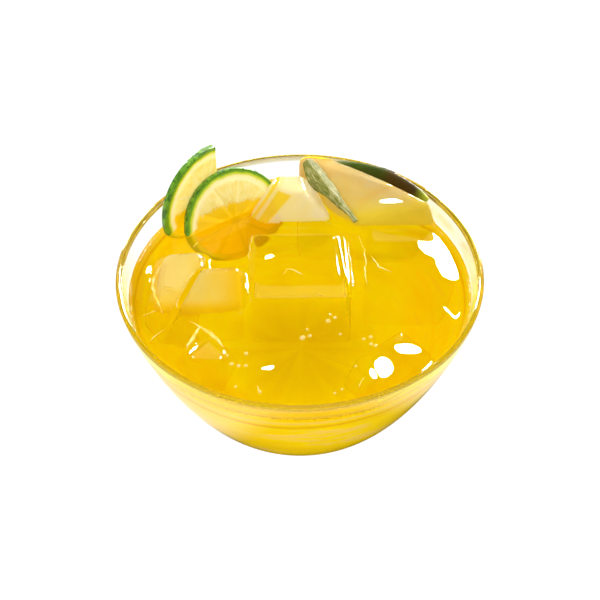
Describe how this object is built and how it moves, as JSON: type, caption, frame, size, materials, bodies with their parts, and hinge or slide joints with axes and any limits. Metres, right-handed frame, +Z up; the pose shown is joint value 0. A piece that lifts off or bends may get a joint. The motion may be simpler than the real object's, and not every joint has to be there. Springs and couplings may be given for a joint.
{
  "type": "jelly chunks in syrup in a glass bowl",
  "caption": "Clear yellow jelly chunks in golden syrup, with lime slices and a mint leaf, served in a flared clear glass bowl.",
  "frame": {"origin": "middle of the bowl's flat base, on the surface that it stands on", "axes": "+Z up, -Y towards the eater and +X to the eater's right; the lime slices are at the back left"},
  "size_m": [0.16, 0.16, 0.0985],
  "materials": {
    "glass": "clear polished glass",
    "syrup": "clear golden liquid with a wet gloss",
    "jelly": "clear to hazy pale yellow jelly with a wet gloss",
    "lime": "moist pale lime flesh with a green rind",
    "leaf": "matt green leaf"
  },
  "bodies": {
    "root": {"glass_bowl": "glass", "lemon_syrup": "syrup", "lime_slice_back": "lime", "lime_slice_front": "lime", "lime_slice_right": "lime", "mint_leaf": "leaf", "jelly_block_center": "jelly", "jelly_slab_back_right": "jelly", "jelly_wedge_back": "jelly", "jelly_chunk_right": "jelly", "jelly_chunk_left_lower": "jelly", "jelly_chunk_left_upper": "jelly", "jelly_chunk_front_left": "jelly", "jelly_chunk_front_right": "jelly"}
  },
  "joints": []
}
